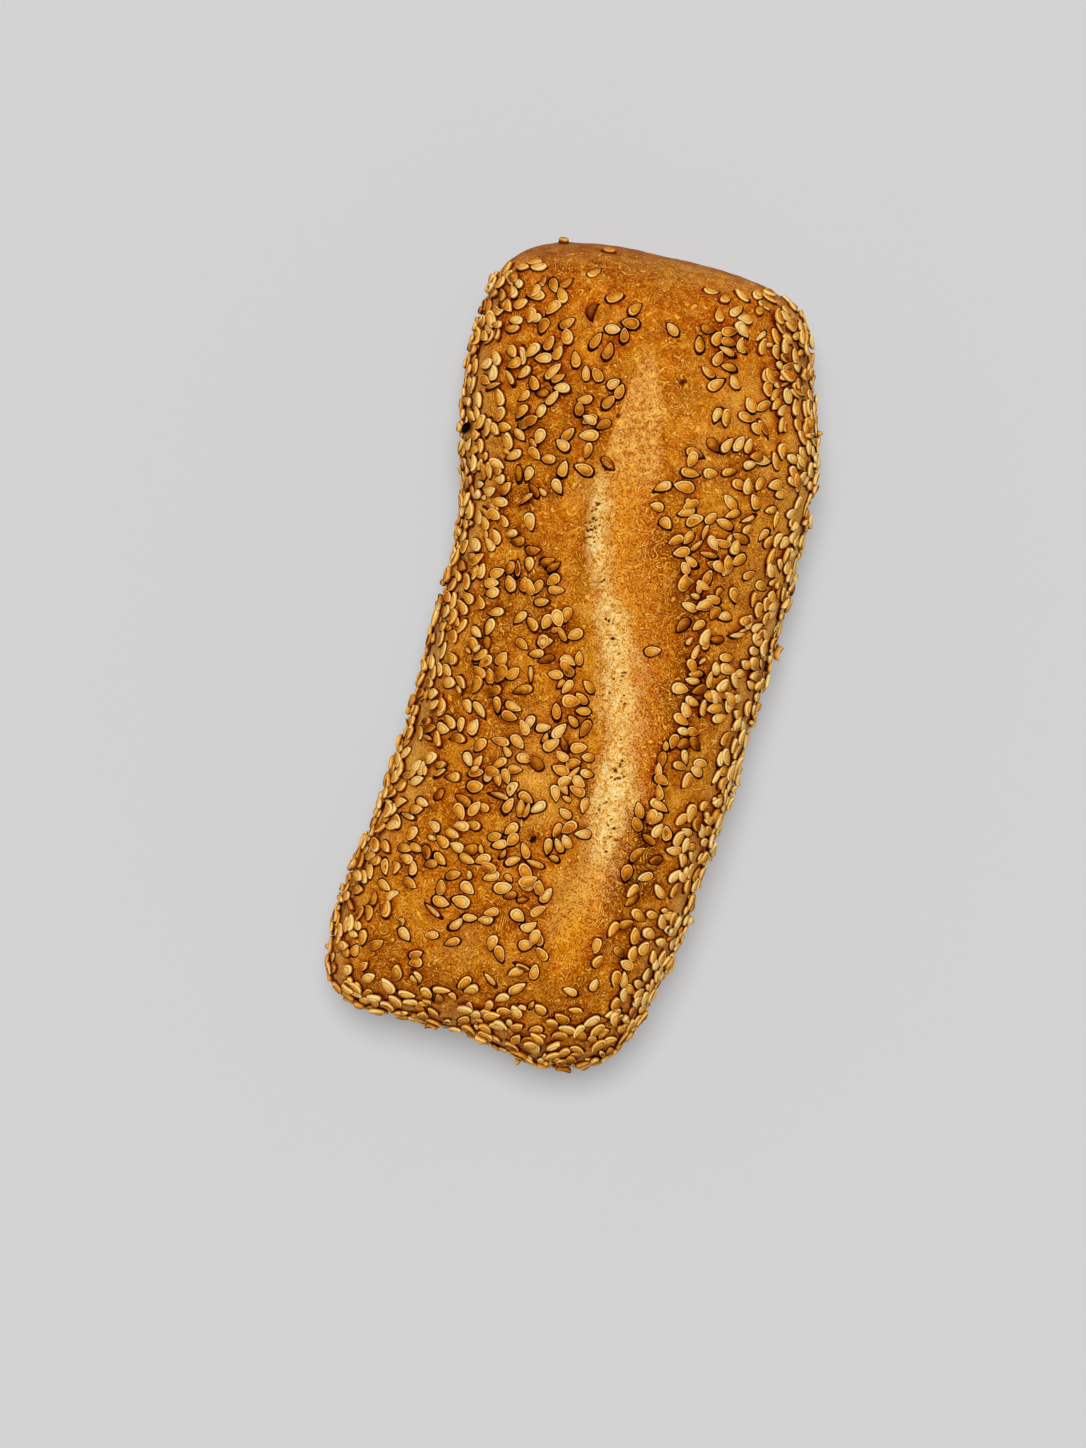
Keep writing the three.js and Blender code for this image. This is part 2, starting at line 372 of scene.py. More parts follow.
def browned_and_hole_shaded(m, crust, broad):
    """The crust, darker where it browned most: in patches, on the score's lips and underneath; and darker the
    deeper a pore or hole is, which is painted shade, with the burnt specks' own dark colour.
    """
    toasted = m.attribute("toasted")
    crust = m.mix(m.remap(toasted, 0.0, 1.3, 0.0, 0.8), crust, (0.56, 0.42, 0.24, 1.0), "MULTIPLY")
    crust = m.mix(m.remap(toasted, -1.0, 0.0, 0.5, 0.0), crust, srgb(236, 172, 70))
    crust = m.mix(m.attribute("scorch"), crust, srgb(112, 47, 2))
    below = m.ramp(broad, (0.3, srgb(120, 62, 16)), (0.7, srgb(168, 101, 39)))
    crust = m.mix(m.attribute("under"), crust, below)
    # Pores and holes, darker the deeper they are: painted shade, and the burnt specks' own colour.
    pore = m.attribute("pore")
    crust = m.mix(pore, crust, srgb(88, 43, 5))
    return m.mix(m.remap(pore, 0.8, 1.0), crust, srgb(36, 15, 2))


def grained(m, crust, patches, grain, curls):
    """The crust with pale flakes on the score's floor, a dark and a pale grain all over, and pale curls,
    threads and crumbs where blisters broke."""
    cream = m.attribute("streak")
    flakes = m.math("MULTIPLY", m.remap(grain, 0.50, 0.62, 0.0, 0.68), cream)
    crust = m.mix(flakes, crust, srgb(255, 244, 205))
    rough = m.math("MULTIPLY", m.attribute("graininess"), m.remap(cream, 0.0, 1.0, 1.0, 0.5))
    dark = m.math("MULTIPLY", m.remap(grain, 0.34, 0.54, 0.92, 0.0), rough)
    dark = m.math("MULTIPLY", dark, m.remap(m.attribute("upper"), 0.0, 1.0, 1.0, 0.85))
    crust = m.mix(dark, crust, (0.43, 0.20, 0.03, 1.0), "MULTIPLY")
    light = m.math("MULTIPLY", m.remap(grain, 0.52, 0.68, 0.0, 0.42), rough)
    crust = m.mix(light, crust, srgb(246, 172, 32))
    crust = m.mix(m.math("MULTIPLY", curls, rough), crust, srgb(251, 189, 66))
    threads = m.math("MULTIPLY", m.veins(2.2, 0.014, 2.0), m.remap(patches, 0.54, 0.62, 0.0, 0.85))
    crust = m.mix(m.math("MULTIPLY", threads, rough), crust, srgb(255, 211, 125))
    return m.mix(m.remap(m.cells(2.7), 0.05, 0.09, 0.85, 0.0), crust, srgb(255, 215, 140))


def crust_material():
    """Baked crust. The mesh's numbers say where the score, its pale floor, the flanks and the rest are."""
    m = Material("crust")
    broad = m.noise(12.0)
    patches = m.noise(3.2, 4.0, 0.6, 0.4)
    speckle = m.noise(1.1, 3.0, 0.7, 0.6)
    grain = m.noise(0.40, 2.0, 0.75)
    curls = m.math("MULTIPLY", m.whorls(3.0, 11.5), m.remap(speckle, 0.46, 0.60, 0.0, 0.85))
    colour = skin_colour(m, broad, patches)
    colour = with_score(m, colour, patches, speckle)
    colour = browned_and_hole_shaded(m, colour, broad)
    colour = grained(m, colour, patches, grain, curls)
    # Painted shade in the crevices around the seeds and lumps.
    colour = m.painted_crevice_shade(colour, 2.0, 0.40, 0.99)
    normal = m.bump(patches, 0.28)
    normal = m.bump(grain, 0.16, normal)
    normal = m.bump(curls, 0.06, normal)
    roughness = m.remap(speckle, 0.3, 0.7, 0.5, 0.76)
    return m.finish({"Base Color": colour, "Roughness": roughness,
                     "Specular IOR Level": 0.015, "Normal": normal})


def seed_material():
    """A toasted sesame seed. `tone` is its own shade, `ring` runs from its middle out to the crust, and the
    third number read is above 0 where the seed faces the light and below 0 where it faces away, for its
    painted highlight and shade."""
    m = Material("sesame_seed")
    tone, toward_light, ring = m.attribute("tone"), m.attribute("toward_light"), m.attribute("ring")
    cloud = m.noise(1.0, 2.0, 0.6)
    grain = m.noise(0.3, 2.0, 0.6)
    shade = m.math("MULTIPLY_ADD", m.math("SUBTRACT", cloud, 0.5), 0.55, tone)
    # The side that faces the light is painted paler and the side away from it darker: painted highlight and
    # shade.
    shade = m.math("MULTIPLY_ADD", toward_light, 0.20, shade)
    face = m.ramp(shade,
                  (0.0, srgb(14, 8, 4)), (0.08, srgb(74, 34, 2)), (0.22, srgb(146, 78, 4)),
                  (0.40, srgb(204, 124, 15)), (0.64, srgb(244, 174, 60)), (1.0, srgb(255, 224, 142)))

    # Its face from the middle out: a warmer middle, a brown line, and a pale rim, partly its own paler edge
    # and partly a painted highlight that is brightest on the side facing the light.
    face = m.mix(m.remap(ring, 0.3, 0.8, 0.25, 0.0), face, srgb(186, 97, 5))
    line = m.math("MULTIPLY", m.remap(ring, 0.5, 0.70), m.remap(ring, 0.74, 0.86, 0.55, 0.0))
    face = m.mix(line, face, srgb(142, 67, 0))
    rim = m.math("MULTIPLY", m.remap(ring, 0.80, 0.90), m.remap(ring, 0.96, 1.10, 1.0, 0.0))
    rim = m.math("MULTIPLY", rim, m.remap(toward_light, -0.8, 0.8, 0.4, 1.0))
    face = m.mix(m.math("MULTIPLY", rim, m.remap(tone, 0.2, 0.55)), face, srgb(255, 222, 142))

    # Its wall, which is dark at its foot, and the skirt of browned crust: both partly painted shadow, wider
    # and darker on the side away from the light.
    wall = m.math("MULTIPLY_ADD", toward_light, -0.22, ring)
    face = m.mix(m.remap(wall, 0.98, 1.6, 0.0, 0.95), face, srgb(114, 42, 0))
    face = m.mix(m.remap(wall, 1.4, 2.1), face, srgb(68, 16, 0))
    skirt = m.math("MULTIPLY_ADD", toward_light, 0.5, ring)
    face = m.mix(m.remap(skirt, 2.7, 4.0), face, srgb(150, 68, 0))

    face = m.mix(m.remap(grain, 0.35, 0.5, 0.25, 0.0), face, srgb(124, 62, 3))
    face = m.mix(m.remap(tone, -0.5, 0.0, 1.0, 0.0), face, srgb(14, 9, 5))
    # Painted shade where neighbouring seeds and the crust close in.
    face = m.painted_crevice_shade(face, 0.9, 0.15, 0.95)
    roughness = m.remap(cloud, 0.3, 0.7, 0.42, 0.6)
    normal = m.bump(grain, 0.05)
    return m.finish({"Base Color": face, "Roughness": roughness,
                     "Specular IOR Level": 0.03, "Normal": normal})


# ---------------------------------------------------------------- the crust


def streak_at(y, column):
    """One of the streak's columns at y."""
    return along([(row[0], row[column]) for row in STREAK], y)


def score_places(points):
    """For each point: its signed share of the way from the score's middle to its lips, its distance right of
    the pale floor's middle as a share of that floor's half width, and how open the score is at that y."""
    x, y = points[:, 0], points[:, 1]
    left, right = along(SCORE_LEFT, y), along(SCORE_RIGHT, y)
    across = (x - (left + right) / 2) / ((right - left) / 2)
    floor = (x - streak_at(y, STREAK_X)) / streak_at(y, STREAK_HALF_WIDTH)
    start, end = SCORE_ENDS
    opened = smoothstep(y, start, start + 12) * smoothstep(-y, -end, -end + 10)
    return across, floor, opened


def inside_seedless(points):
    """How far each point is inside the band where no seeds stuck, in millimetres, or below 0 outside it."""
    x, y = points[:, 0], points[:, 1]
    ends = np.minimum(y - SEEDLESS_ENDS[0], SEEDLESS_ENDS[1] - y) * 0.7
    return np.minimum(np.minimum(x - along(SEEDLESS_LEFT, y), along(SEEDLESS_RIGHT, y) - x), ends)


def bare_edge(x):
    """The y from which the bare end's crust is plain."""
    return BARE_FROM + 0.05 * x - 0.006 * x * x


def toasting(points):
    """How much more than usual the crust browned at each point, or less where it is below 0."""
    amount = 0.35 * lumps(points, 7.0, 16)
    for *place, strength in TOASTED:
        near = spot(points, *place)
        amount += strength * near * (1 + 0.5 * lumps(points, 4.0, 17)) * (points[:, 2] > 12)
    return amount


def fine_copy(node):
    """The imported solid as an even, fine mesh, with its facets smoothed away."""
    mesh = node.data.copy()
    welded = bmesh.new()
    welded.from_mesh(mesh)
    bmesh.ops.remove_doubles(welded, verts=welded.verts, dist=1e-6)
    welded.to_mesh(mesh)
    welded.free()
    piece = bpy.data.objects.new("roll", mesh)
    bpy.context.scene.collection.objects.link(piece)
    rounding = piece.modifiers.new("rounding", "SUBSURF")
    rounding.levels = 2
    even = piece.modifiers.new("even", "REMESH")
    even.mode = "VOXEL"
    even.voxel_size = VOXEL * MM
    calm = piece.modifiers.new("calm", "SMOOTH")
    calm.factor = 0.5
    calm.iterations = SMOOTHING_PASSES
    evaluated = piece.evaluated_get(bpy.context.evaluated_depsgraph_get())
    piece.data = bpy.data.meshes.new_from_object(evaluated)
    piece.modifiers.clear()
    return piece


def refine(mesh, chosen):
    """Halves every edge whose two ends are chosen. `chosen` takes points, and says yes or no to each."""
    keep = chosen(coordinates(mesh) / MM)
    finer = bmesh.new()
    finer.from_mesh(mesh)
    edges = [edge for edge in finer.edges if all(keep[end.index] for end in edge.verts)]
    bmesh.ops.subdivide_edges(finer, edges=edges, cuts=1, use_grid_fill=True)
    finer.to_mesh(mesh)
    finer.free()


def in_score(points):
    across, _, opened = score_places(points)
    return (np.abs(across) < 1.3) & (opened > 0.05) & (points[:, 2] > NEAR_CROWN)


def in_streak(points):
    _, floor, opened = score_places(points)
    return (np.abs(floor) < 1.15) & (opened > 0.2) & (points[:, 1] < 38) & (points[:, 2] > NEAR_CROWN)


def pores(rng):
    """The torn floor's pores: (x, y, half length, half width, direction, depth) each."""
    found = []
    for middle, count, spread in PORES:
        for y in rng.normal(middle, spread, count):
            at = np.array([y])
            x = streak_at(at, STREAK_X)[0] + streak_at(at, STREAK_HALF_WIDTH)[0] * rng.normal(0, 0.26)
            long = 0.18 + 0.26 * rng.random() ** 2
            wide = long * rng.uniform(0.4, 0.8)
            found.append((x, y, long, wide, rng.normal(0.3, 0.5), rng.uniform(0.1, 0.8)))
    return found


class Places:
    """Where the fine mesh's points are before they move, and how far in each part of the crust they are."""

    def __init__(self, mesh):
        self.points = coordinates(mesh) / MM
        self.normals = coordinates(mesh, "normal")
        self.x, self.y, z = self.points.T
        self.across, self.floor, self.opened = score_places(self.points)
        self.top = smoothstep(self.normals[:, 2], 0.1, 0.6)
        self.under = smoothstep(-self.normals[:, 2], 0.55, 0.9) * smoothstep(-z, -2.5, -0.8)
        self.inside = smoothstep(-np.abs(self.across), -1.12, -0.82) * self.opened * self.top
        self.lips = self.opened * self.top * (0.3 + 0.7 * smoothstep(-self.y, -42, -24))
        wander = 0.55 * lumps(self.points, 5.0, 5) + 0.35 * lumps(self.points, 2.2, 6)
        self.streak = smoothstep(-np.abs(self.floor + wander), -1.8, 0.1) * self.inside
        self.streak *= np.clip(streak_at(self.y, STREAK_PALENESS), 0, 1)


def relief(at):
    """How far the crust stands out from the smooth roll at each point: lumps, blisters and opened score."""
    height = 0.55 * lumps(at.points, 24, 1) + 0.30 * lumps(at.points, 10, 2)
    height += 0.14 * lumps(at.points, 3.4, 3) + 0.06 * lumps(at.points, 1.7, 4)
    height += 0.30 * np.clip(lumps(at.points, 2.4, 8) - 0.42, 0, None)  # blisters
    height *= 1 - 0.85 * at.under
    height += at.lips * (0.60 * hill(at.across, 1.1, 0.22) + 0.45 * hill(at.across, -1.12, 0.22))
    height += at.lips * 0.60 * hill(at.across, 0.42, 0.34)  # the dough that swelled right of the floor
    height -= at.lips * 0.85 * hill(at.floor, 0, 1.0)
    stretched = at.points * (1, 0.35, 1)
    height += at.inside * 0.12 * lumps(stretched, 1.3, 6)
    return height + at.streak * (0.18 * lumps(at.points, 1.1, 9) + 0.12 * lumps(at.points, 0.6, 10))


def dig_holes(at, height):
    """Digs the floor's pores and the other holes into the relief. Returns how far in one each point is."""
    in_hole = np.zeros(len(height))
    near = np.flatnonzero(at.inside > 0.01)
    for x, y, long, wide, turn, depth in pores(np.random.default_rng(21)):
        right, ahead = at.x[near] - x, at.y[near] - y
        lengthwise = right * math.cos(turn) + ahead * math.sin(turn)
        sideways = ahead * math.cos(turn) - right * math.sin(turn)
        bowl = np.clip(1.2 - (lengthwise / long) ** 2 - (sideways / wide) ** 2, 0, 1)
        height[near] -= depth * bowl
        in_hole[near] = np.maximum(in_hole[near], bowl * (0.3 + 0.7 * depth))
    for x, y, wide, long, depth in PITS:
        pit = np.clip(1.3 - ((at.x - x) / wide) ** 2 - ((at.y - y) / long) ** 2, 0, 1) * at.top
        height -= depth * pit
        in_hole = np.maximum(in_hole, pit)
    return in_hole


def store_places(mesh, at, in_hole):
    """Stores what the crust's material reads: how much each point belongs to each kind of crust."""
    ragged = 0.5 * lumps(at.points, 5, 12)
    bare = smoothstep(at.y + 1.6 * ragged - bare_edge(at.x), -1.4, 1.8) * (1 - at.under)
    flank = smoothstep(-at.normals[:, 2] + 0.18 * ragged, -0.80, -0.30) * (1 - bare)
    store(mesh, "under", at.under)
    store(mesh, "bare", bare)
    store(mesh, "flank", flank * np.where(at.x < 0, 0.85, 0.68))
    store(mesh, "orange", (1 - flank) * smoothstep(at.y + 8 * ragged + 0.3 * np.abs(at.x), 52, 74))
    store(mesh, "amber", at.top * smoothstep(inside_seedless(at.points) + 2.4 * ragged, -1.0, 3.0))
    store(mesh, "across", np.clip(at.across, -1.4, 1.4))
    left_soft, right_soft = 0.4 + 0.8 * smoothstep(-at.y, -34, -24), 1.2 + 0.6 * smoothstep(at.y, 28, 44)
    soft = np.where(at.across > 0, right_soft, left_soft)
    edge = smoothstep(-np.abs(at.across) + 0.35 * ragged, -1.04, -1.04 + 0.45 * soft)
    store(mesh, "inside", at.inside * edge)
    left_of_floor = hill(at.floor + 0.5 * ragged, -1.5, 1.0)
    left_of_floor = left_of_floor * smoothstep(-at.y, -20, -10) * smoothstep(at.y, -24, -16)
    store(mesh, "golden", at.top * np.clip(1.2 * left_of_floor, 0, 1))
    store(mesh, "upper", smoothstep(at.y + 6 * ragged, 28, 44))
    store(mesh, "lower", smoothstep(-at.y + 6 * ragged, 42, 56) * smoothstep(-at.across, -1.0, 0.2))
    store(mesh, "streak", at.streak)
    store(mesh, "toasted", toasting(at.points) * (1 - 0.8 * at.streak))
    lip = hill(at.across, 1.12, 0.17) * smoothstep(ragged, -0.5, 0.3) + 0.5 * hill(at.across, -1.12, 0.15)
    store(mesh, "scorch", np.clip(at.lips * lip * 0.45, 0, 1))
    # How deep in a pore or hole each point is, for the painted shade there.
    store(mesh, "pore", in_hole ** 0.8)
    graininess = (1 - 0.72 * bare) * (1 - 0.4 * flank) * (1 - 0.3 * at.under) * (1 + 0.25 * at.inside)
    store(mesh, "graininess", graininess)


def shape_crust(mesh):
    """Moves the fine mesh's points to the crust's real surface, and stores what its material reads."""
    at = Places(mesh)
    height = relief(at)
    in_hole = dig_holes(at, height)
    moved = at.points + at.normals * height[:, None]
    moved[:, 2] = np.maximum(moved[:, 2], 0)
    mesh.vertices.foreach_set("co", (moved * MM).astype(np.float32).ravel())
    mesh.update()
    store_places(mesh, at, in_hole)


def make_crust(node, material):
    piece = fine_copy(node)
    piece.name = "roll_crust"
    refine(piece.data, in_score)
    refine(piece.data, in_streak)
    shape_crust(piece.data)
    piece.data.materials.clear()
    piece.data.materials.append(material)
    piece.data.shade_smooth()
    return piece


# ---------------------------------------------------------------- the seeds


def seeds_per_cm2(points, normals):
    """How densely the crust is seeded at each point."""
    x, y, z = points.T
    inside = inside_seedless(points)
    side = smoothstep(-normals[:, 2], -0.86, -0.55)
    clump = 1 + 0.9 * lumps(points, 6.5, 14)
    density = (ON_CROWN + MORE_ON_SIDES * side) * np.clip(clump, 0.2, 1.8)
    # Thick beside the score's lower half, and further up on its right.
    beside = hill(inside, -3.5, 3.5) * smoothstep(-y, -30, -22) * smoothstep(y, -62, -50)
    density += MORE_BESIDE_SCORE * beside * np.where(x > 10, 1, smoothstep(-y, -12, -2))
    for *place, more in THICK:
        density += more * spot(points, *place)
    density += MORE_ON_SEEDED_END * smoothstep(-y, 68, 77)
    for *place, missing in THIN:
        density *= 1 - missing * spot(points, *place)
    # None in the score, on the bare end's face or underneath.
    density *= 1 - smoothstep(inside + 0.8 * lumps(points, 3.0, 15), -0.4, 0.6)
    density *= 1 - smoothstep(y - bare_edge(x), -2.5, 0) * smoothstep(-x, -30, -20)
    density *= smoothstep(z, 1.6, 9) * smoothstep(normals[:, 2], -0.9, -0.45)
    return np.clip(density, 0, MOST)


# The kinds of seed, in shares of a seed's size: the (radius, height) rings of its face from the middle to
# the edge, its middle's height, its keel's height, and how common it is.
SEED_KINDS = [
    ([(0.42, 0.90), (0.72, 0.86), (0.88, 0.95), (0.985, 0.70)], 0.90, 0.0, 0.36),  # flat
    ([(0.42, 1.06), (0.70, 0.98), (0.87, 0.83), (0.98, 0.55)], 1.10, 0.0, 0.32),  # plump
    ([(0.42, 0.60), (0.70, 0.72), (0.87, 1.0), (0.985, 0.74)], 0.55, 0.0, 0.18),  # dished
    ([(0.42, 0.92), (0.70, 0.86), (0.88, 0.80), (0.985, 0.55)], 0.95, 0.35, 0.14),  # keeled
]
FACE_PLACES = [0.42, 0.72, 0.9, 1.1]  # what the material reads on the face's rings

# The rest of a seed's rings, as (radius, height, what the material reads). A seed stuck in the crust has a
# wall, a skirt of browned crust that also carries painted shadow, and a buried root. A loose one has a rounded
# back.
STUCK_RINGS = [(1.02, 0.0, 2.2), (1.2, 0.0, 3.4), (0.9, -0.75, 3.4)]
LOOSE_RINGS = [(1.0, 0.30, 1.5), (0.85, 0.06, 1.8), (0.5, -0.04, 1.8)]
RING_COUNT = len(FACE_PLACES) + len(STUCK_RINGS)
FOOT, SKIRT = 4, 5  # the numbers of a stuck seed's rings that lie on the crust
SKIRT_WIDTH = 0.30
SKIRT_SUNK = 0.03
FOOT_ABOVE = 0.10
STUCK_BOTTOM, LOOSE_BOTTOM = -0.75, -0.05
AROUND_SEED = np.linspace(0, 2 * math.pi, SEED_SEGMENTS, endpoint=False)


def ring_points(ring):
    """The numbers of the points of one of a seed's rings. Point 0 is its face's middle."""
    return range(1 + ring * SEED_SEGMENTS, 1 + (ring + 1) * SEED_SEGMENTS)


def seed_body(kind, size, loose, toward_light, rng):
    """One seed's points, facing +Z with its length on +X, and what the material reads at each."""
    face, crown, keel, _ = kind
    length, width, thickness = size
    swell = np.cos(2 * AROUND_SEED + rng.uniform(0, 6))
    wobble = 1 + 0.04 * rng.normal() * swell + 0.02 * rng.normal(size=SEED_SEGMENTS)
    outline_x = np.cos(AROUND_SEED) * wobble * length / 2
    taper = 1 - rng.uniform(0.14, 0.36) * np.cos(AROUND_SEED)
    outline_y = np.sin(AROUND_SEED) * taper * wobble * width / 2
    outline_y *= 1 - 0.42 * np.clip(np.cos(AROUND_SEED), 0, 1) ** 4  # the pointed end

    def ring(radius, height):
        ridge = keel * (1 - np.abs(np.sin(AROUND_SEED) * radius)) * (height > 0.5)
        return np.stack([outline_x * radius, outline_y * radius, (height + ridge) * thickness], 1)

    rings = [ring(radius, height) for radius, height in face]
    places = [np.zeros(1)] + [np.full(SEED_SEGMENTS, place) for place in FACE_PLACES]
    for radius, height, place in LOOSE_RINGS if loose else STUCK_RINGS:
        rings.append(ring(radius, height))
        places.append(np.full(SEED_SEGMENTS, place))
    if not loose:
        # The skirt is made wider on the side away from the light, for its painted shadow.
        skirt = 1 + 2 * SKIRT_WIDTH * rng.uniform(0.6, 1.3) * (1 - 0.45 * toward_light) / width
        rings[SKIRT] = ring(skirt, np.zeros(SEED_SEGMENTS))
    middle = [[0, 0, (crown + keel) * thickness]]
    bottom = [[0, 0, (LOOSE_BOTTOM if loose else STUCK_BOTTOM) * thickness]]
    points = np.concatenate([middle, *rings, bottom])
    places = np.concatenate([*places, places[-1][:1]])

    # Many are a little bent along their length, and a few curl or hook.
    bend = rng.normal(0, 0.22 if loose else 0.10) * (points[:, 0] / (length / 2)) ** 2
    points[:, 2] += bend * thickness
    points[:, 1] += rng.normal(0, 0.07 if rng.random() > 0.08 else 0.4) * (points[:, 0] / (length / 2)) ** 2
    return points, places, np.concatenate([[0], np.tile(toward_light, RING_COUNT), [0]])


def seed_faces():
    """The faces over a seed's points, the same for every seed."""
    rings = [ring_points(ring) for ring in range(RING_COUNT)]
    bottom = rings[-1].stop
    faces = []
    for i in range(SEED_SEGMENTS):
        j = (i + 1) % SEED_SEGMENTS
        faces.append((0, rings[0][i], rings[0][j]))
        faces += [(inner[i], outer[i], outer[j], inner[j]) for inner, outer in zip(rings, rings[1:])]
        faces.append((bottom, rings[-1][j], rings[-1][i]))
    return faces


class Crowd:
    """Where seeds already lie, as three discs along each one, to keep the next from lying in them."""

    CELL = 2.6  # as much as the radii of two big seeds' discs together

    def __init__(self):
        self.cells = {}

    def discs(self, middle, direction, size):
        length, width, _ = size
        step = direction * (length - width) / 2
        return [(middle - step, 0.44 * width), (middle, 0.5 * width), (middle + step, 0.40 * width)]

    def key(self, point):
        return tuple(np.floor(point / self.CELL).astype(int))

    def fits(self, discs, slack):
        for middle, radius in discs:
            x, y, z = self.key(middle)
            for cell in itertools.product((x - 1, x, x + 1), (y - 1, y, y + 1), (z - 1, z, z + 1)):
                for other, other_radius in self.cells.get(cell, ()):
                    gap = middle - other
                    if gap @ gap < ((radius + other_radius) * (1 - slack)) ** 2:
                        return False
        return True

    def add(self, discs):
        for disc in discs:
            self.cells.setdefault(self.key(disc[0]), []).append(disc)


def axes_on(normal, angle):
    """Two directions at right angles to a normal, the first turned by an angle."""
    helper = np.array([0.0, 1.0, 0.0]) if abs(normal[1]) < 0.9 else np.array([1.0, 0.0, 0.0])
    first = np.cross(helper, normal)
    first /= np.linalg.norm(first)
    second = np.cross(normal, first)
    turned = first * math.cos(angle) + second * math.sin(angle)
    return turned, np.cross(normal, turned)


def seed_size(rng):
    scale = rng.normal(1, 0.07) * (SMALL_SCALE if rng.random() < SMALL_SHARE else 1)
    edgewise = rng.random() < EDGEWISE_SHARE
    length = SEED_LENGTH * scale * rng.uniform(0.90, 1.08)
    width = SEED_WIDTH * scale * rng.uniform(0.86, 1.14) * (0.55 if edgewise else 1)
    thickness = SEED_THICKNESS * rng.uniform(0.8, 1.2) * (1.4 if edgewise else 1)
    return length, width, thickness


def seed_tone(normal, toasted, rng):
    """Its shade: duller low on the left side and on the seeded end, and where the crust browned more."""
    if rng.random() < BROWNED_SHARE:
        return rng.uniform(0.2, 0.3)
    dull_side = 1 if normal[0] < 0 or normal[1] < -0.5 else 0.2
    steep = float(smoothstep(-normal[2], -0.8, -0.3)) * dull_side
    return np.clip(rng.normal(0.60 - 0.18 * steep - 0.10 * toasted, 0.15), DARKEST, PALEST)


class Seed:
    """Where one seed lies: its middle on the crust, the way it faces, its turn, its size and its shade."""

    def __init__(self, middle, normal, angle, size, tone, loose):
        self.middle, self.normal, self.angle = middle, normal, angle
        self.size, self.tone, self.loose = size, tone, loose


def lone_seeds(surface):
    """The listed seeds, each dropped on the crust from above."""
    seeds = []
    for x, y, degrees, tone, scale in LONE_SEEDS:
        hit, normal, _, _ = surface.ray_cast(Vector((x, y, 100)) * MM, Vector((0, 0, -1)))
        if hit is None:
            hit, normal, _, _ = surface.find_nearest(Vector((x, y, BELLY_HEIGHT + 8)) * MM)
        size = (SEED_LENGTH * scale, SEED_WIDTH * scale, SEED_THICKNESS)
        middle, normal, angle = np.array(hit) / MM, np.array(normal), math.radians(degrees)
        seeds.append(Seed(middle, normal, angle, size, tone, tone < 0))
    return seeds


def crowd_of(seeds):
    """A crowd that holds these seeds."""
    crowd = Crowd()
    for seed in seeds:
        room = 1.0 if seed.tone > 0 else ROOM_ROUND_BLACK
        direction = axes_on(seed.normal, seed.angle)[0]
        crowd.add(crowd.discs(seed.middle, direction, [room * side for side in seed.size]))
    return crowd


def scatter(mesh, share, loose, slack, crowd, rng):
    """Seeds over the crust, with `share` of its density, that keep clear of those in the crowd."""
    mesh.calc_loop_triangles()
    corners = np.zeros(len(mesh.loop_triangles) * 3, np.int32)
    mesh.loop_triangles.foreach_get("vertices", corners)
    a, b, c = (coordinates(mesh) / MM)[corners.reshape(-1, 3)].transpose(1, 0, 2)
    facing = np.cross(b - a, c - a)
    area = np.linalg.norm(facing, axis=1) / 2
    normals = facing / np.maximum(2 * area[:, None], 1e-12)
    wanted = area / 100 * share(seeds_per_cm2((a + b + c) / 3, normals), normals)
    tries = int(wanted.sum() * TRIES_PER_SEED)
    picked = rng.choice(len(area), size=tries, p=wanted / wanted.sum())
    toasted = toasting((a + b + c)[picked] / 3)
    s, t = rng.random((2, len(picked), 1))
    flip = s + t > 1
    s, t = np.where(flip, 1 - s, s), np.where(flip, 1 - t, t)
    places = a[picked] + s * (b - a)[picked] + t * (c - a)[picked]
    seeds = []
    for middle, normal, browning in zip(places, normals[picked], toasted):
        if len(seeds) >= wanted.sum():
            break
        size = seed_size(rng)
        for angle in rng.uniform(0, 2 * math.pi, TURNS_PER_TRY):
            discs = crowd.discs(middle, axes_on(normal, angle)[0], size)
            if crowd.fits(discs, slack):
                crowd.add(discs)
                seeds.append(Seed(middle, normal, angle, size, seed_tone(normal, browning, rng), loose))
                break
    return seeds


def loose_share(density, normals):
    """How many loose seeds lie on the others: more where those are thick, and more on the sides."""
    side = smoothstep(-normals[:, 2], -0.86, -0.45)
    return density * (0.10 + 0.12 * side + 0.14 * smoothstep(density, 7, 11)) * (density > 4)


def all_seeds(mesh, surface, rng):
    """The lone seeds, then the ones stuck in the crust, then a few loose ones on top of those."""
    lone = lone_seeds(surface)
    stuck = scatter(mesh, lambda density, normals: density, False, STUCK_SLACK, crowd_of(lone), rng)
    loose = scatter(mesh, loose_share, True, 0.0, crowd_of(lone), rng)
    return lone + stuck + loose


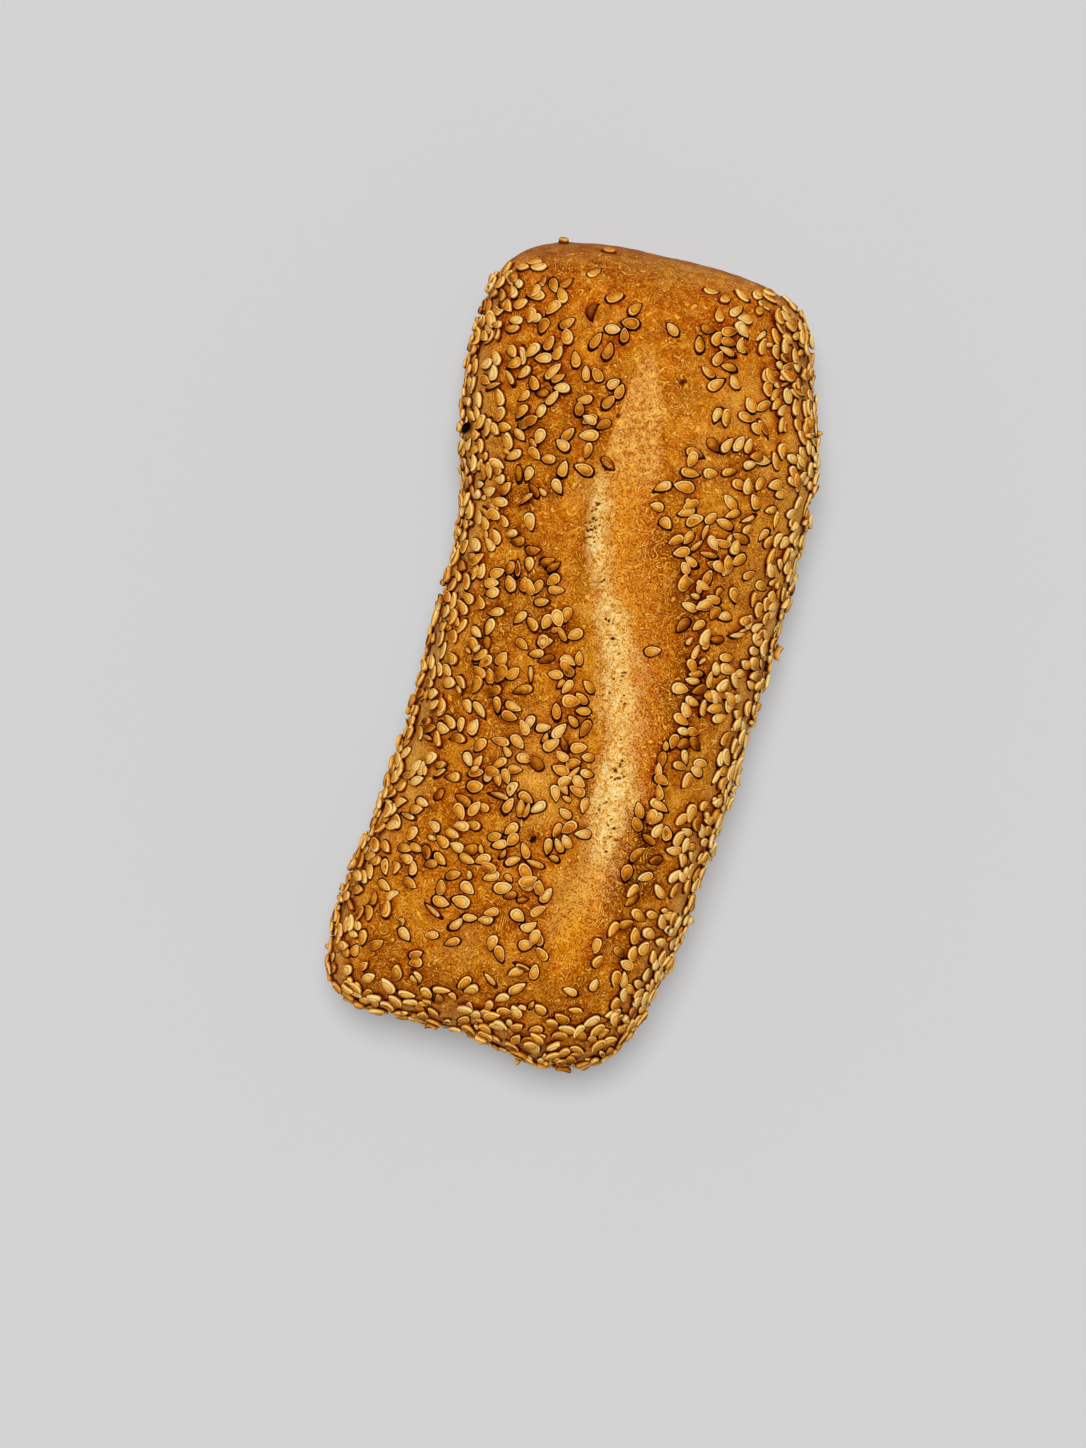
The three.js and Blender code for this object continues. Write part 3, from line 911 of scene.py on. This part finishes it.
def place_seed(seed, surface, rng):
    """One seed's points, places and how much each side faces the light. A stuck one's wall and skirt lie on
    the crust.
    """
    hit, normal, _, _ = surface.find_nearest(Vector(seed.middle * MM))
    normal = np.array(normal)
    lengthwise, crosswise = axes_on(normal, seed.angle)
    tilt = rng.normal(0, 0.13 if seed.loose else 0.08, 2)
    facing = normal + tilt[0] * lengthwise + tilt[1] * crosswise
    black = seed.tone < 0
    if black:  # it lies on the others, face up
        facing += np.array([0, 0, 1.5])
    facing /= np.linalg.norm(facing)
    lengthwise = np.cross(crosswise, facing)
    lengthwise /= np.linalg.norm(lengthwise)
    crosswise = np.cross(facing, lengthwise)
    # How much each side of the seed faces the light: its material paints highlight on that side and shade on
    # the other.
    light = SOFTBOX_FROM - (SOFTBOX_FROM @ normal) * normal
    light /= max(np.linalg.norm(light), 0.3)
    toward_light = np.cos(AROUND_SEED) * (lengthwise @ light) + np.sin(AROUND_SEED) * (crosswise @ light)
    kind = SEED_KINDS[rng.choice(len(SEED_KINDS), p=[kind[-1] for kind in SEED_KINDS])]
    body, places, toward_light = seed_body(kind, seed.size, seed.loose, toward_light, rng)
    if black:
        sunk = -0.7
    elif seed.loose:
        sunk = -rng.uniform(0.15, 0.5)
    else:
        sunk = rng.uniform(0.0, 0.28) if rng.random() > 0.12 else rng.uniform(0.4, 0.66)
    origin = np.array(hit) / MM - normal * seed.size[2] * sunk
    points = origin + body[:, :1] * lengthwise + body[:, 1:2] * crosswise + body[:, 2:] * facing
    if not seed.loose:
        lay_on_crust(points, ring_points(FOOT), FOOT_ABOVE, surface)
        lay_on_crust(points, ring_points(SKIRT), -SKIRT_SUNK, surface)
    return points, places, toward_light


def lay_on_crust(points, chosen, above, surface):
    """Moves the chosen points to the nearest crust, and that far above it."""
    for i in chosen:
        down, normal, _, _ = surface.find_nearest(Vector(points[i] * MM))
        points[i] = np.array(down) / MM + above * np.array(normal)


def seed_group(seed):
    """The name of the piece that the seed is gathered in."""
    x, y, _ = seed.middle
    if y < -66:
        return "seeds_seeded_end"
    if seed.normal[2] > 0.8:
        return "seeds_crown"
    return "seeds_left" if x < 0 else "seeds_right"


def make_seeds(crust, material):
    """Every seed, gathered in a few pieces by where they lie."""
    rng = np.random.default_rng(4)
    mesh = crust.data
    surface = BVHTree.FromPolygons([v.co for v in mesh.vertices], [p.vertices for p in mesh.polygons])
    groups = {}
    for seed in all_seeds(mesh, surface, rng):
        groups.setdefault(seed_group(seed), []).append(seed)
    pattern = seed_faces()
    pieces = []
    for name, group in sorted(groups.items()):
        placed = [place_seed(seed, surface, rng) for seed in group]
        points, places, toward_light = (np.concatenate(part) for part in zip(*placed))
        count = len(points) // len(group)
        starts = range(0, len(points), count)
        faces = [tuple(corner + start for corner in face) for start in starts for face in pattern]
        piece = new_object(name, points, faces)
        store(piece.data, "ring", places)
        # Which side of each seed faces the light, for its painted highlight and shade.
        store(piece.data, "toward_light", toward_light)
        store(piece.data, "tone", np.repeat([seed.tone for seed in group], count))
        piece.data.materials.append(material)
        pieces.append(piece)
    return pieces


# ---------------------------------------------------------------- camera, floor and light


def add_camera():
    data = bpy.data.cameras.new("camera")
    data.lens = LENS_MM
    data.sensor_width = SENSOR_MM
    data.dof.use_dof = False
    camera = bpy.data.objects.new("camera", data)
    above = np.array([0, 0, BELLY_HEIGHT + VIEW_LENGTH * LENS_MM / SENSOR_MM])
    camera.location = (above - ROLL_RIGHT_OF_MIDDLE * PICTURE_RIGHT - ROLL_ABOVE_MIDDLE * PICTURE_UP) * MM
    camera.rotation_euler = (0, 0, ROLL_TURN)
    bpy.context.scene.collection.objects.link(camera)
    bpy.context.scene.camera = camera


def add_floor():
    side = 3000.0
    corners = [(-side, -side, 0), (side, -side, 0), (side, side, 0), (-side, side, 0)]
    floor = new_object("floor", corners, [(0, 1, 2, 3)])
    m = Material("floor")
    reflected = (1 - FLOOR_OWN_SHARE) * FLOOR_BRIGHTNESS / LIT
    away = m.node("VectorMath", inputs={0: m.place, 1: FLOOR_COOLER_WITHIN}, operation="DIVIDE")
    away = m.node("VectorMath", "Value", inputs={0: away}, operation="LENGTH")
    tint = m.mix(m.remap(away, 0.5, 1.3, 1.0, 0.0), (1, 1, 1, 1), FLOOR_COOLER)
    colour = m.mix(1.0, tint, (reflected, reflected, reflected, 1), "MULTIPLY")
    floor.data.materials.append(m.finish({
        "Base Color": colour, "Roughness": 0.9, "Specular IOR Level": 0.0,
        "Emission Color": (1, 1, 1, 1), "Emission Strength": FLOOR_OWN_SHARE * FLOOR_BRIGHTNESS}))


def add_light():
    """A broad soft light from just up and left of the camera, and a plain room that is paler low down."""
    world = bpy.data.worlds.new("room")
    world.use_nodes = True
    nodes, links = world.node_tree.nodes, world.node_tree.links
    place = nodes.new("ShaderNodeTexCoord")
    direction = nodes.new("ShaderNodeSeparateXYZ")
    strength = nodes.new("ShaderNodeMapRange")
    strength.inputs["From Max"].default_value = HORIZON_TOP
    strength.inputs["To Min"].default_value = HORIZON_LIGHT
    strength.inputs["To Max"].default_value = ROOM_LIGHT
    background = nodes["Background"]
    background.inputs["Color"].default_value = (1, 1, 1, 1)
    links.new(place.outputs["Generated"], direction.inputs[0])
    links.new(direction.outputs["Z"], strength.inputs["Value"])
    links.new(strength.outputs[0], background.inputs["Strength"])
    bpy.context.scene.world = world
    data = bpy.data.lights.new("softbox", "SUN")
    data.energy = SOFTBOX_LIGHT
    data.angle = SOFTBOX_ACROSS
    softbox = bpy.data.objects.new("softbox", data)
    softbox.rotation_euler = Vector(SOFTBOX_FROM).to_track_quat("Z", "Y").to_euler()
    bpy.context.scene.collection.objects.link(softbox)
    bpy.context.scene.view_settings.view_transform = "Standard"


# ---------------------------------------------------------------- the scene

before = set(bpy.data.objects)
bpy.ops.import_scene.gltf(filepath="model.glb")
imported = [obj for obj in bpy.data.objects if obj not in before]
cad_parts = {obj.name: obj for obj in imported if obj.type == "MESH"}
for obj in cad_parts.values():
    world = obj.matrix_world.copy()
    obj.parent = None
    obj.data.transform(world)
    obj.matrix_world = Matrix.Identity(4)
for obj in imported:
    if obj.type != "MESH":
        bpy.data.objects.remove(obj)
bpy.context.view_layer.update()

add_camera()
add_floor()
add_light()

roll = make_crust(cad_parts["bread_roll"], crust_material())
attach(roll, "root")
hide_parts("bread_roll")

for seeds in make_seeds(roll, seed_material()):
    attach(seeds, "root")
